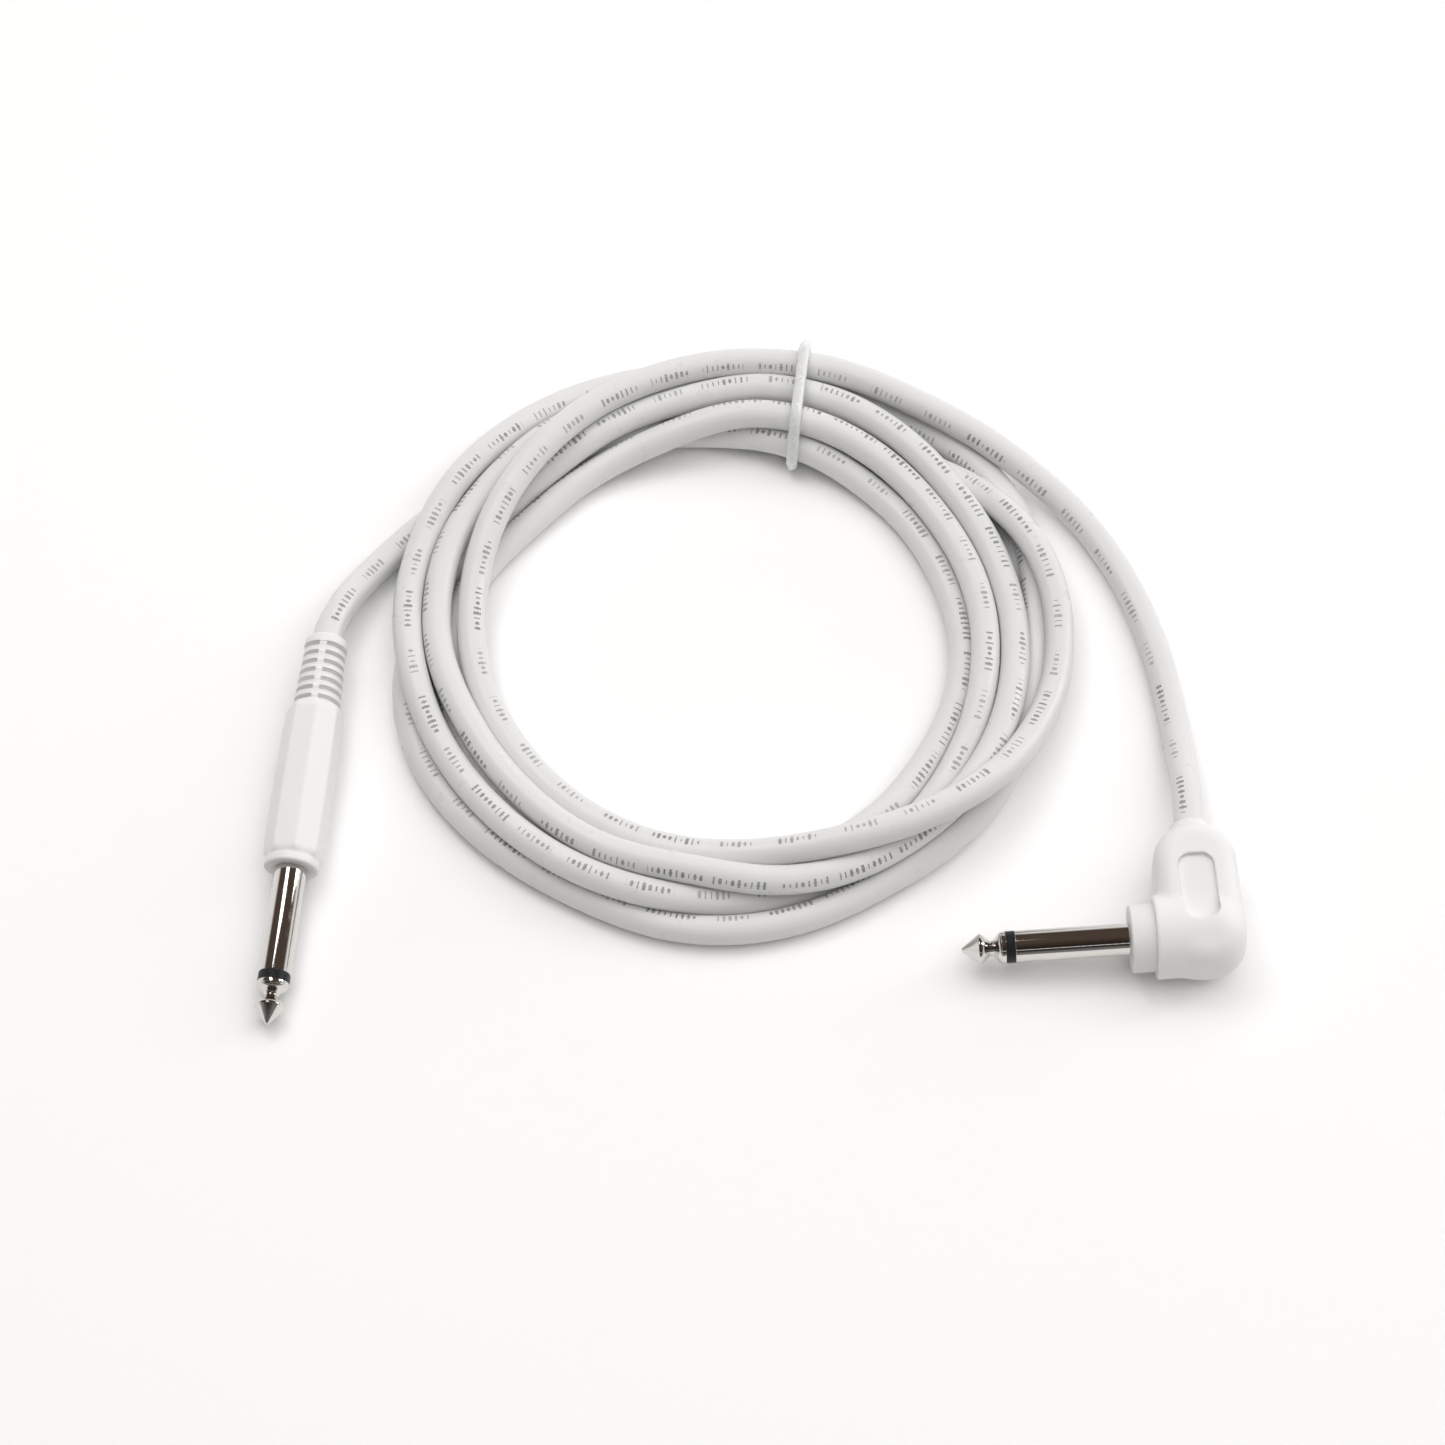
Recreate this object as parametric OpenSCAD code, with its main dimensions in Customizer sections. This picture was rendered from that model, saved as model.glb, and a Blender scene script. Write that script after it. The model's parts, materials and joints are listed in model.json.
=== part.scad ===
// Instrument cable: a straight and a right-angle jack plug on one coiled lead, held by a tie ring.
// Each plug is drawn with its pin along +X, tip forward, and X = 0 where the bare sleeve starts.

/* [Cable] */
// Outer diameter of the cable jacket
cable_d = 6; // [5:0.1:6.6]
// Outer diameter of the braided shield under the jacket
shield_d = 3.2; // [2.9:0.1:3.4]
// Outer diameter of the core insulation
core_d = 2.4; // [2.1:0.1:2.6]
// Diameter of the stranded centre conductor
conductor_d = 0.8; // [0.5:0.1:1.2]

/* [Coil] */
// Outside diameter of the wound coil
coil_outer_d = 141; // [120:1:146]
// Inside diameter of the wound coil
coil_inner_d = 96; // [70:1:105]
// Height of the wound coil
coil_h = 12; // [9:0.5:16]
// Rounding of the coil's outer shape
coil_round = 4; // [2:0.5:4.5]
// Thickness of the elastic tie ring
tie_d = 2.4; // [1.6:0.1:3]
// Direction from the coil's centre to the tie ring
tie_angle = 76; // [60:1:100]
// Clearance between the tie ring and the coil
tie_gap = 0.05; // [0.05:0.01:0.2]

/* [Jack pin] */
// Diameter of the plug's sleeve
pin_d = 6.35; // [5:0.05:7]
// Bare length of the pin, from its tip to the moulding
pin_len = 33; // [28:0.5:40]
// Length of the tip contact's head
tip_len = 8.7; // [8:0.1:10]
// Widest diameter of the tip's cone
tip_d = 6; // [5:0.1:6.2]
// Diameter of the tip's neck
neck_d = 2.9; // [2.6:0.1:3.4]
// Length of the black insulating ring
ring_len = 1.8; // [1:0.1:3]
// Diameter of the tip contact's rod
rod_d = 2.4; // [2:0.1:2.6]
// Bore of the sleeve, filled by the insulating tube
sleeve_bore_d = 4.4; // [3.6:0.1:4.8]
// Diameter of the flange at the back of the sleeve
flange_d = 9; // [8:0.1:9.2]
// Thickness of the sleeve's flange
flange_t = 2; // [1.2:0.1:2.4]
// Depth of the sleeve inside the moulding, in front of its flange
sleeve_depth = 4; // [3:0.1:5]

/* [Solder tags] */
// Thickness of the tag metal
tag_t = 0.6; // [0.4:0.05:0.8]
// Thickness of the washer between the tags
washer_t = 1.4; // [1:0.1:1.8]
// Width of the tip tag
tip_tag_w = 2.2; // [1.6:0.1:3]
// Width of the sleeve tag
sleeve_tag_w = 4; // [3:0.1:4.4]

/* [Straight plug] */
// Width of the handle across its flats, at the belly
handle_w = 11.5; // [11.2:0.1:16]
// Width of the handle across its flats, at the cable end
handle_back_w = 10.8; // [10.6:0.1:15]
// Length of the handle
handle_len = 36; // [29:0.2:50]
// Diameter of the round lip at the front of the handle
lip_d = 10.9; // [10.6:0.1:15]
// Length of the ribbed strain relief
relief_len = 15.8; // [13:0.1:30]
// Diameter of the relief's first rib
relief_front_d = 10; // [9:0.1:12]
// Diameter of the relief's last rib
relief_back_d = 8.6; // [8:0.1:10]
// Depth of the slots between the ribs
slot_depth = 1; // [0.4:0.1:1.2]
// Number of slots along the relief
slot_count = 7; // [4:1:9]

/* [Angle plug] */
// Diameter of the housing's barrel
barrel_d = 16.5; // [15.5:0.1:20]
// Distance from the bare sleeve to the cable's axis
leg_offset = 14.2; // [14:0.1:18]
// Width of the housing's leg
leg_w = 16.4; // [15.5:0.1:20]
// Height of the housing's leg
leg_h = 13.4; // [12:0.1:16]
// Distance from the pin's axis to the end of the leg
leg_len = 22.8; // [22.4:0.1:36]
// Rounding of the leg's edges
leg_round = 4; // [2:0.5:5]
// Diameter of the inner moulding's collar
collar_d = 13.4; // [12.8:0.1:14.4]
// Bare length of the inner moulding's collar
collar_len = 4.7; // [3:0.1:6]
// Length of the short boss round the cable
boss_len = 1; // [0.5:0.1:5]
// Width of the shallow recess in the leg
recess_w = 7.1; // [5:0.1:9]
// Length of the shallow recess in the leg
recess_len = 15; // [10:0.1:16]
// Depth of the shallow recess
recess_depth = 1; // [0.4:0.1:1.2]

/* [Hidden] */
$fn = 48;
cable_r = cable_d / 2;
route_sides = 12;

// Where each plug's cable leaves it, and the way its pin points; each pin dips a little.
straight_exit = [-86.2, 41.9];
straight_turn = 265;
straight_pitch = 3;
handle_roll = 12.5;
handle_low = handle_w / 2 * cos(22.5 - handle_roll) / cos(22.5);
straight_z = handle_low * cos(straight_pitch)
    + (handle_len + relief_len - 3) * sin(straight_pitch);
angle_exit = [87.6, -1.5];
angle_turn = 182.7;
angle_pitch = 3;
angle_z = barrel_d / 2 * cos(angle_pitch) + (leg_offset - collar_len) * sin(angle_pitch);

// Coil place, and the ends of the two straight stretches that leave it.
coil_at = [-3.6, 42.6];
angle_tail_z = 8;
angle_tail_from = [29.4, 103.6];
angle_tail_to = [60.4, 84.1];
straight_tail_from = [-46.6, 90.6];
straight_tail_to = [-72.6, 69.1];

// Routes from the coil to each plug, along the cable's centre; the plug's end follows its height.
angle_route = [[60.4, 84.1, angle_tail_z], [65.6, 80.2, 7.4], [70.7, 74.4, 6.2], [75.7, 66.4, 4.6],
    [79.7, 58.2, 3.5], [82.4, 50, cable_r], [84.8, 40.8, cable_r], [86.4, 30.6, 3.3], [87.4, 19.6, 4.8],
    [87.8, 10.6, 6.9], [87.8, 3.6, 8.4], [87.6, -1.5, angle_z]];
straight_route = [[-72.6, 69.1, cable_r], [-75.7, 64.9, 3.6], [-78.7, 60.3, 4.9], [-81.4, 55.5, 6.3],
    [-83.8, 50.6, 7.7], [-85.5, 46, 8.5], [-86.2, 41.9, straight_z]];

// Stations along a pin, from the bare sleeve's start.
ring_end = pin_len - tip_len;
ring_start = ring_end - ring_len;
collar_r = pin_d / 2 - 0.05;
collar_len_tip = 0.9;
ring_d = pin_d - 0.05;
root_step = 0.2;
root_d = pin_d - 2 * root_step;
cone_len = 3.5;
neck_x = ring_end + 2.7;
flange_back = -sleeve_depth - flange_t;
washer_front = flange_back - tag_t;
washer_back = washer_front - washer_t;
tip_tag_back = washer_back - tag_t;
rivet_back = tip_tag_back - tag_t;
rivet_d = rod_d + 1;
washer_d = flange_d - 1.2;
tip_disc_d = 5.5;

// Stations of the soldered cable end: U runs along the cable towards the plug, V across it.
tag_gap = 1.3;
solder_film = 0.1;
tip_plate_v = conductor_d / 2 + solder_film;
tip_plate_len = 5;
conductor_front = -1;
core_front = -6;
shield_front = -9.5;
jacket_front = -11;
sleeve_plate_v = -flange_d / 2 + 0.5;
sleeve_plate_end = -11.6;
pigtail_d = 1.2;
pigtail_gap = 0.1;
pigtail_root = [shield_front - 1.4, shield_front - 0.2];
pigtail_root_top = -(shield_d + core_d) / 4;
pigtail_v = sleeve_plate_v + pigtail_d / 2 + pigtail_gap;
pigtail_room_w = 3;
clamp_from = -15;
clamp_to = -12;
clamp_d = cable_d + 2 * tag_t;
mould_end_u = -15.4;

straight_u = rivet_back - tag_gap;
straight_cable_len = handle_len + relief_len + straight_u;
straight_mould_r = flange_d / 2 + 0.4;
angle_u = -4.4;
angle_cable_len = leg_len + boss_len + angle_u;
collar_back = 4.2;
mould_near = 5;
mould_far = 4.2;
mould_half_h = 4.3;
barrel_back = -leg_offset - leg_w / 2;

// Colours of the materials.
module nickel() color([0.78, 0.77, 0.74]) children();
module black_plastic() color([0.06, 0.06, 0.07]) children();
module clear_plastic() color([0.85, 0.83, 0.76]) children();
module white_pvc() color([0.94, 0.94, 0.93]) children();
module tinned_brass() color([0.76, 0.68, 0.42]) children();
module copper() color([0.72, 0.42, 0.27]) children();
module solder_metal() color([0.62, 0.63, 0.64]) children();
module tie_rubber() color([0.88, 0.88, 0.86]) children();

// Places a plug, drawn about its own pin, so that its cable leaves it at the route's end.
module place_straight()
    translate([straight_exit[0], straight_exit[1], straight_z])
        rotate([0, straight_pitch, straight_turn])
            translate([handle_len + relief_len, 0, 0])
                children();

module place_angle()
    translate([angle_exit[0], angle_exit[1], angle_z])
        rotate([0, angle_pitch, angle_turn])
            translate([leg_offset, leg_len + boss_len, 0])
                children();

// Places the soldered cable end inside each plug.
module straight_end() translate([straight_u, 0, 0]) children();
module angle_end() translate([-leg_offset, angle_u, 0]) rotate([0, 0, 90]) children();

// A rod or tube along X.
module rod_x(from, to, d) translate([from, 0, 0]) rotate([0, 90, 0]) cylinder(h = to - from, d = d);

module tube_x(from, to, d, bore)
    difference() {
        rod_x(from, to, d);
        rod_x(from - 1, to + 1, bore);
    }

// A box between two X values and two Y values, centred on Z.
module plate(x0, x1, y0, y1, w) translate([x0, y0, -w / 2]) cube([x1 - x0, y1 - y0, w]);

// ---- Pin parts, the same in both plugs ----

// A point a share of the way along a soft step from one radius and station to the next.
function waist(r0, x0, r1, x1, share) =
    [r0 + (r1 - r0) * share * share * (3 - 2 * share), x0 + (x1 - x0) * share];

module tip_contact()
    rotate([0, 90, 0])
        rotate_extrude()
            polygon(concat(
                [[0, rivet_back], [rivet_d / 2, rivet_back], [rivet_d / 2, tip_tag_back],
                    [rod_d / 2, tip_tag_back], [rod_d / 2, ring_end],
                    [collar_r, ring_end], [collar_r, ring_end + collar_len_tip]],
                [for (t = [0.1:0.1:1])
                    waist(collar_r, ring_end + collar_len_tip, neck_d / 2, neck_x, t)],
                [for (t = [0.1:0.1:1])
                    waist(neck_d / 2, neck_x, tip_d / 2, pin_len - cone_len, t)],
                [[tip_d / 2 - 0.1, pin_len - cone_len + 0.3],
                    [0.55, pin_len - 0.2], [0.3, pin_len - 0.05], [0, pin_len]]));

module tip_ring() tube_x(ring_start, ring_end, ring_d, rod_d);

module pin_insulator() tube_x(washer_front, ring_start, sleeve_bore_d, rod_d);

// The sleeve is full size where it is bare and steps down to the root that the moulding grips.
module sleeve()
    difference() {
        union() {
            rod_x(0, ring_start, pin_d);
            rod_x(-sleeve_depth, 1, root_d);
            rod_x(flange_back, -sleeve_depth, flange_d);
        }
        rod_x(flange_back - 1, ring_start + 1, sleeve_bore_d);
    }

module washer() tube_x(washer_back, washer_front, washer_d, rod_d);

// ---- Soldered cable end, the same in both plugs, in its own U, V axes ----

module tip_plate() plate(-tip_plate_len, 0, tip_plate_v, tip_plate_v + tag_t, tip_tag_w);

// The sleeve's tag lies along the cable and steps in to a ring clamped on the jacket.
module sleeve_plate(front) {
    plate(sleeve_plate_end, front, sleeve_plate_v - tag_t, sleeve_plate_v, sleeve_tag_w);
    plate(sleeve_plate_end - tag_t, sleeve_plate_end, sleeve_plate_v - tag_t, -cable_r, sleeve_tag_w);
    tube_x(clamp_from, clamp_to, clamp_d, cable_d);
    difference() {
        plate(clamp_to, sleeve_plate_end, -clamp_d / 2, -cable_r / 2, sleeve_tag_w);
        rod_x(clamp_to - 1, sleeve_plate_end + 1, cable_d);
    }
}

module conductor(length) rod_x(-length, conductor_front, conductor_d);

module core_insulation(length) tube_x(-length, core_front, core_d, conductor_d);

// The shield's strands are gathered beside the core and twisted into a tail that lies on the tag.
module pigtail() {
    start = [(pigtail_root[0] + pigtail_root[1]) / 2, pigtail_root_top - pigtail_d / 2 - pigtail_gap];
    turn = [-7.5, pigtail_v];
    way = turn - start;
    plate(pigtail_root[0], pigtail_root[1], start[1] - pigtail_d / 2, pigtail_root_top,
        pigtail_d + pigtail_gap);
    translate([turn[0], turn[1], 0]) sphere(d = pigtail_d + 2 * pigtail_gap);
    translate([start[0], start[1], 0])
        rotate([0, 90, atan2(way[1], way[0])])
            cylinder(h = norm(way), d = pigtail_d);
    translate([0, pigtail_v, 0]) rod_x(turn[0], -2.5, pigtail_d);
}

module shield(length) {
    tube_x(-length, shield_front, shield_d, core_d);
    pigtail();
}

// Box round the pigtail and its solder, left open in the inner moulding.
module pigtail_room() plate(jacket_front, -2, sleeve_plate_v, -core_d / 4, pigtail_room_w);

module tip_solder()
    difference() {
        rod_x(-4.5, -1.5, conductor_d + 1.2);
        rod_x(-5, 0, conductor_d);
        plate(-5, 0, tip_plate_v, 5, 5);
    }

module sleeve_solder()
    difference() {
        translate([0, pigtail_v, 0]) rod_x(-6.5, -3, pigtail_d + 1.2);
        translate([0, pigtail_v, 0]) rod_x(-7.5, -2.5, pigtail_d);
        plate(-8, 0, -8, sleeve_plate_v, 5);
    }

module jacket_end(length) tube_x(-length, jacket_front, cable_d, shield_d);

// ---- Straight plug ----

module straight_tip_tag() {
    tube_x(tip_tag_back, washer_back, tip_disc_d, rod_d);
    plate(straight_u - tag_t, washer_back, tip_disc_d / 2 - tag_t, tip_disc_d / 2, tip_tag_w);
    plate(straight_u - tag_t, straight_u, tip_plate_v, tip_disc_d / 2, tip_tag_w);
    straight_end() tip_plate();
}

module straight_sleeve_tag() {
    tube_x(washer_front, flange_back, flange_d, sleeve_bore_d);
    straight_end() sleeve_plate(flange_back - straight_u);
}

module straight_mould_block()
    rod_x(straight_u + mould_end_u, -sleeve_depth, 2 * straight_mould_r);

// The inner moulding fills the space round every inner piece.
module straight_inner_mould()
    difference() {
        straight_mould_block();
        tip_contact();
        pin_insulator();
        sleeve();
        washer();
        straight_tip_tag();
        straight_sleeve_tag();
        straight_end() conductor(straight_cable_len);
        straight_end() core_insulation(straight_cable_len);
        straight_end() tube_x(-straight_cable_len, shield_front, shield_d, core_d);
        straight_end() pigtail_room();
        straight_end() tip_solder();
        straight_end() jacket_end(straight_cable_len);
    }

// The handle is eight-sided with a slight belly: four equal slabs, an eighth of a turn apart.
module handle_outline() {
    lip_t = 1.6;
    step_x = -lip_t - 1.2;
    belly_x = -0.42 * handle_len;
    half_side = [[-handle_len, handle_back_w / 2], [belly_x, handle_w / 2],
        [step_x, handle_w / 2 - 0.25], [0.4 - lip_t, lip_d / 2 - 0.4]];
    intersection_for (turn = [0:45:135])
        rotate([turn + handle_roll, 0, 0])
            linear_extrude(2 * handle_w, center = true)
                polygon(concat(half_side, [for (i = [3:-1:0]) [half_side[i][0], -half_side[i][1]]]));
    rod_x(-lip_t, 0, lip_d);
}

// The relief tapers to the cable; its slots stop at a spine along the top and the bottom.
module relief_outline() {
    end = -handle_len - relief_len;
    end_ring = 2.2;
    front_ring = 0.4;
    slot_w = 1;
    pitch = (relief_len - end_ring - front_ring - slot_w) / (slot_count - 1);
    spine_w = 1.7;
    function relief_d(x) = relief_front_d + (relief_back_d - relief_front_d) * (-handle_len - x) / relief_len;
    difference() {
        translate([end, 0, 0])
            rotate([0, 90, 0])
                cylinder(h = relief_len, d1 = relief_back_d, d2 = relief_front_d);
        for (i = [0:slot_count - 1]) {
            x0 = -handle_len - front_ring - i * pitch;
            difference() {
                rod_x(x0 - slot_w, x0, 2 * relief_front_d);
                rod_x(x0 - 2 * slot_w, x0 + slot_w, relief_d(x0) - 2 * slot_depth);
                plate(x0 - 2 * slot_w, x0 + slot_w, -spine_w / 2, spine_w / 2, 3 * relief_front_d);
            }
        }
    }
}

module straight_handle()
    difference() {
        union() {
            handle_outline();
            relief_outline();
        }
        straight_mould_block();
        rod_x(-sleeve_depth - 1, 1, root_d);
        rod_x(-handle_len - relief_len - 1, straight_u + mould_end_u + 1, cable_d);
    }

// ---- Angle plug ----

module angle_tip_tag() {
    tube_x(tip_tag_back, washer_back, tip_disc_d, rod_d);
    difference() {
        plate(tip_tag_back, washer_back, angle_u - tag_t, 0, tip_tag_w);
        rod_x(tip_tag_back - 1, washer_back + 1, rod_d);
    }
    plate(-leg_offset - tip_plate_v - tag_t, washer_back, angle_u - tag_t, angle_u, tip_tag_w);
    angle_end() tip_plate();
}

module angle_sleeve_tag() {
    turn_y = angle_u - tag_t - 0.5;
    plate_x = -leg_offset - sleeve_plate_v;
    tube_x(washer_front, flange_back, flange_d, sleeve_bore_d);
    plate(washer_front, flange_back, turn_y - tag_t, -sleeve_bore_d / 2 - 0.8, sleeve_tag_w);
    plate(plate_x, flange_back, turn_y - tag_t, turn_y, sleeve_tag_w);
    angle_end() sleeve_plate(turn_y - angle_u);
}

module angle_mould_block() {
    rod_x(-leg_offset + collar_back, 0, collar_d);
    translate([-leg_offset - mould_far, angle_u + mould_end_u, -mould_half_h])
        cube([mould_near + mould_far, -angle_u - mould_end_u, 2 * mould_half_h]);
}

module angle_inner_mould()
    difference() {
        angle_mould_block();
        tip_contact();
        pin_insulator();
        sleeve();
        washer();
        angle_tip_tag();
        angle_sleeve_tag();
        angle_end() conductor(angle_cable_len);
        angle_end() core_insulation(angle_cable_len);
        angle_end() tube_x(-angle_cable_len, shield_front, shield_d, core_d);
        angle_end() pigtail_room();
        angle_end() tip_solder();
        angle_end() jacket_end(angle_cable_len);
    }

// Half of the leg's rounded section, turned or drawn out to make the leg.
module leg_section(half)
    intersection() {
        union() {
            translate([-leg_w / 2 + leg_round, -leg_h / 2]) square([leg_w - 2 * leg_round, leg_h]);
            translate([-leg_w / 2, -leg_h / 2 + leg_round]) square([leg_w, leg_h - 2 * leg_round]);
            for (x = [-1, 1], y = [-1, 1])
                translate([x * (leg_w / 2 - leg_round), y * (leg_h / 2 - leg_round)])
                    circle(r = leg_round);
        }
        translate([half ? 0 : -leg_w, -leg_h]) square([leg_w * 2, leg_h * 2]);
    }

module leg_outline() {
    dome_y = -leg_len + leg_w / 2;
    translate([-leg_offset, 0, 0]) {
        rotate([90, 0, 0]) linear_extrude(-dome_y) leg_section(false);
        translate([0, dome_y, 0]) rotate_extrude() leg_section(true);
        translate([0, -leg_len - boss_len, 0])
            rotate([-90, 0, 0])
                cylinder(h = boss_len + 1.5, d1 = cable_d + 1.4, d2 = cable_d + 3.2);
    }
}

module barrel_outline() {
    end_round = 6;
    rotate([0, 90, 0])
        rotate_extrude()
            polygon(concat(
                [[0, -collar_len], [barrel_d / 2, -collar_len]],
                [for (a = [0:15:90])
                    [barrel_d / 2 - end_round * (1 - cos(a)), barrel_back + end_round * (1 - sin(a))]],
                [[0, barrel_back]]));
}

// The shallow recess, with round corners, is on both broad faces of the leg.
module recess() {
    centre = [-leg_offset + 0.3, -7.2];
    corner_r = 0.36 * recess_w;
    half = [recess_w / 2 - corner_r, recess_len / 2 - corner_r];
    for (side = [0, 1])
        mirror([0, 0, side])
            translate([centre[0], centre[1], leg_h / 2 - recess_depth])
                linear_extrude(2 * recess_depth + 1)
                    hull()
                        for (x = [-half[0], half[0]], y = [-half[1], half[1]])
                            translate([x, y]) circle(r = corner_r);
}

module angle_housing()
    difference() {
        union() {
            barrel_outline();
            leg_outline();
        }
        angle_mould_block();
        translate([-leg_offset, angle_u + mould_end_u + 1, 0])
            rotate([90, 0, 0])
                cylinder(h = leg_len + boss_len, d = cable_d);
        recess();
    }

// ---- Cable and tie ----

function unit(v) = v / norm(v);

function route_way(route, i, first, last) =
    i == 0 ? first : i == len(route) - 1 ? last : unit(route[i + 1] - route[i - 1]);

function route_ring(centre, way) =
    let (across = unit(cross([0, 0, 1], way)), up = cross(way, across))
    [for (k = [0:route_sides - 1])
        centre + cable_r * (cos(360 * k / route_sides) * across + sin(360 * k / route_sides) * up)];

// One closed tube with a ring of points at each route point.
module route_tube(route, first, last) {
    count = len(route);
    points = [for (i = [0:count - 1]) each route_ring(route[i], route_way(route, i, first, last))];
    sides = [for (i = [0:count - 2], k = [0:route_sides - 1])
        let (a = i * route_sides + k, b = i * route_sides + (k + 1) % route_sides)
        each [[a, b, b + route_sides], [a, b + route_sides, a + route_sides]]];
    start = [for (k = [route_sides - 1:-1:0]) k];
    end = [for (k = [0:route_sides - 1]) (count - 1) * route_sides + k];
    polyhedron(points = points, faces = [for (f = concat(sides, [start, end])) [f[2], f[1], f[0],
        for (k = [len(f) - 1:-1:3]) f[k]]]);
}

// The straight stretch with which the cable leaves the coil.
module coil_tail(from, to, height) {
    way = to - from;
    translate([from[0], from[1], height])
        rotate([0, 90, atan2(way[1], way[0])])
            cylinder(h = norm(way), d = cable_d);
}

module coil_ring() {
    mean_r = (coil_outer_d + coil_inner_d) / 4;
    half_w = (coil_outer_d - coil_inner_d) / 4;
    rotate_extrude($fn = 96)
        translate([mean_r, coil_h / 2]) {
            square([2 * (half_w - coil_round), coil_h], center = true);
            square([2 * half_w, coil_h - 2 * coil_round], center = true);
            for (x = [-1, 1], y = [-1, 1])
                translate([x * (half_w - coil_round), y * (coil_h / 2 - coil_round)])
                    circle(r = coil_round);
        }
}

// A round cord bent into a loop about the coil's section, its lowest run on the ground.
module tie_loop(d) {
    half_w = (coil_outer_d - coil_inner_d) / 4;
    low = tie_d / 2;
    high = coil_h;
    bend = coil_round - tie_d / 4;
    mid_z = (low + high) / 2;
    run_w = half_w - bend;
    run_z = (high - low) / 2 - bend;
    translate([coil_at[0], coil_at[1], 0])
        rotate([0, 0, tie_angle])
            translate([(coil_outer_d + coil_inner_d) / 4, 0, mid_z]) {
                for (z = [-1, 1])
                    translate([-run_w, 0, z * (run_z + bend)])
                        rotate([0, 90, 0])
                            cylinder(h = 2 * run_w, d = d);
                for (x = [-1, 1])
                    translate([x * (run_w + bend), 0, -run_z])
                        cylinder(h = 2 * run_z, d = d);
                for (c = [[1, 1, 0], [-1, 1, 90], [-1, -1, 180], [1, -1, 270]])
                    translate([c[0] * run_w, 0, c[1] * run_z])
                        rotate([90, 0, 0])
                            rotate([0, 0, c[2]])
                                rotate_extrude(angle = 90)
                                    translate([bend, 0])
                                        circle(d = d);
            }
}

module cable_coil()
    difference() {
        union() {
            translate([coil_at[0], coil_at[1], 0]) coil_ring();
            coil_tail(angle_tail_from, angle_tail_to, angle_tail_z);
            coil_tail(straight_tail_from, straight_tail_to, cable_r);
        }
        tie_loop(tie_d + 2 * tie_gap);
    }

module cable_lead_angle() {
    way = unit([each (angle_tail_to - angle_tail_from), 0]);
    cable_way = [sin(angle_turn - 180), -cos(angle_turn - 180), 0];
    route_tube(angle_route, way, cable_way);
}

module cable_lead_straight() {
    way = unit([each (straight_tail_to - straight_tail_from), 0]);
    cable_way = [cos(straight_turn) * cos(straight_pitch), sin(straight_turn) * cos(straight_pitch),
        -sin(straight_pitch)];
    route_tube(straight_route, way, cable_way);
}

nickel() place_straight() tip_contact();  // straight_tip_contact
black_plastic() place_straight() tip_ring();  // straight_tip_ring
clear_plastic() place_straight() pin_insulator();  // straight_pin_insulator
nickel() place_straight() sleeve();  // straight_sleeve
clear_plastic() place_straight() washer();  // straight_washer
tinned_brass() place_straight() straight_tip_tag();
tinned_brass() place_straight() straight_sleeve_tag();
copper() place_straight() straight_end() conductor(straight_cable_len);  // straight_conductor
clear_plastic() place_straight() straight_end() core_insulation(straight_cable_len);  // straight_core_insulation
copper() place_straight() straight_end() shield(straight_cable_len);  // straight_shield
solder_metal() place_straight() straight_end() tip_solder();  // straight_tip_solder
solder_metal() place_straight() straight_end() sleeve_solder();  // straight_sleeve_solder
white_pvc() place_straight() straight_end() jacket_end(straight_cable_len);  // straight_jacket_end
white_pvc() place_straight() straight_inner_mould();
white_pvc() place_straight() straight_handle();
nickel() place_angle() tip_contact();  // angle_tip_contact
black_plastic() place_angle() tip_ring();  // angle_tip_ring
clear_plastic() place_angle() pin_insulator();  // angle_pin_insulator
nickel() place_angle() sleeve();  // angle_sleeve
clear_plastic() place_angle() washer();  // angle_washer
tinned_brass() place_angle() angle_tip_tag();
tinned_brass() place_angle() angle_sleeve_tag();
copper() place_angle() angle_end() conductor(angle_cable_len);  // angle_conductor
clear_plastic() place_angle() angle_end() core_insulation(angle_cable_len);  // angle_core_insulation
copper() place_angle() angle_end() shield(angle_cable_len);  // angle_shield
solder_metal() place_angle() angle_end() tip_solder();  // angle_tip_solder
solder_metal() place_angle() angle_end() sleeve_solder();  // angle_sleeve_solder
white_pvc() place_angle() angle_end() jacket_end(angle_cable_len);  // angle_jacket_end
white_pvc() place_angle() angle_inner_mould();
white_pvc() place_angle() angle_housing();
white_pvc() cable_coil();
white_pvc() cable_lead_angle();
white_pvc() cable_lead_straight();
tie_rubber() tie_loop(tie_d);  // tie_ring
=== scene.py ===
"""Instrument cable: a coil with a straight and a right-angle jack plug, in metres, in the part's frame."""
import json
import math

import bmesh
import bpy
import numpy as np
from mathutils import Matrix, Vector

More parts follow.
